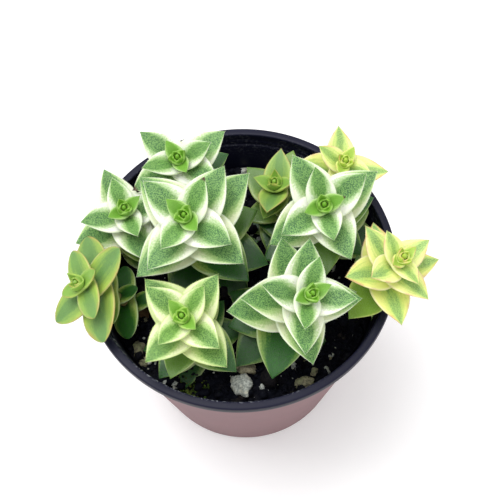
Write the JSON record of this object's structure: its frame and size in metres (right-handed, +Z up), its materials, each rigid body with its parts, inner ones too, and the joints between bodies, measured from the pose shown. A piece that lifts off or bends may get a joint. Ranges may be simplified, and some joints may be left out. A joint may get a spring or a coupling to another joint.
{
  "type": "potted succulent",
  "caption": "Nursery pot of potting mix holding a clump of variegated string of buttons, with fused leaf pairs stacked on upright stems.",
  "frame": {"origin": "centre of the pot's underside, on the surface it stands on", "axes": "+Z up; -Y towards the side that the plant leans to"},
  "size_m": [0.1179, 0.1, 0.1119],
  "materials": {
    "pot_plastic": "matte",
    "potting_mix": "rough, moist",
    "stem": "satin",
    "leaf_cream": "satin",
    "leaf_gold": "satin"
  },
  "bodies": {
    "root": {"nursery_pot": "pot_plastic", "potting_mix": "potting_mix", "stem_back_left": "stem", "leaf_pair_back_left_1": "leaf_cream", "leaf_pair_back_left_2": "leaf_cream", "leaf_pair_back_left_3": "leaf_cream", "leaf_pair_back_left_4": "leaf_cream", "stem_left": "stem", "leaf_pair_left_1": "leaf_cream", "leaf_pair_left_2": "leaf_cream", "leaf_pair_left_3": "leaf_cream", "leaf_pair_left_4": "leaf_cream", "leaf_pair_left_5": "leaf_cream", "stem_centre_left": "stem", "leaf_pair_centre_left_1": "leaf_cream", "leaf_pair_centre_left_2": "leaf_cream", "leaf_pair_centre_left_3": "leaf_cream", "leaf_pair_centre_left_4": "leaf_cream", "leaf_pair_centre_left_5": "leaf_cream", "leaf_pair_centre_left_6": "leaf_cream", "stem_front_left": "stem", "leaf_pair_front_left_1": "leaf_cream", "leaf_pair_front_left_2": "leaf_cream", "leaf_pair_front_left_3": "leaf_cream", "leaf_pair_front_left_4": "leaf_cream", "leaf_pair_front_left_5": "leaf_cream", "stem_front_right": "stem", "leaf_pair_front_right_1": "leaf_cream", "leaf_pair_front_right_2": "leaf_cream", "leaf_pair_front_right_3": "leaf_cream", "leaf_pair_front_right_4": "leaf_cream", "leaf_pair_front_right_5": "leaf_cream", "leaf_pair_front_right_6": "leaf_cream", "leaf_pair_front_right_7": "leaf_cream", "stem_right_back": "stem", "leaf_pair_right_back_1": "leaf_cream", "leaf_pair_right_back_2": "leaf_cream", "leaf_pair_right_back_3": "leaf_cream", "leaf_pair_right_back_4": "leaf_cream", "leaf_pair_right_back_5": "leaf_cream", "stem_back_right": "stem", "leaf_pair_back_right_1": "leaf_gold", "leaf_pair_back_right_2": "leaf_gold", "leaf_pair_back_right_3": "leaf_gold", "leaf_pair_back_right_4": "leaf_gold", "stem_right_edge": "stem", "leaf_pair_right_edge_1": "leaf_gold", "leaf_pair_right_edge_2": "leaf_gold", "leaf_pair_right_edge_3": "leaf_gold", "leaf_pair_right_edge_4": "leaf_gold", "leaf_pair_right_edge_5": "leaf_gold", "leaf_pair_right_edge_6": "leaf_gold", "stem_left_edge": "stem", "leaf_pair_left_edge_1": "leaf_gold", "leaf_pair_left_edge_2": "leaf_gold", "leaf_pair_left_edge_3": "leaf_gold", "leaf_pair_left_edge_4": "leaf_gold", "stem_back_centre": "stem", "leaf_pair_back_centre_1": "leaf_gold", "leaf_pair_back_centre_2": "leaf_gold"}
  },
  "joints": []
}
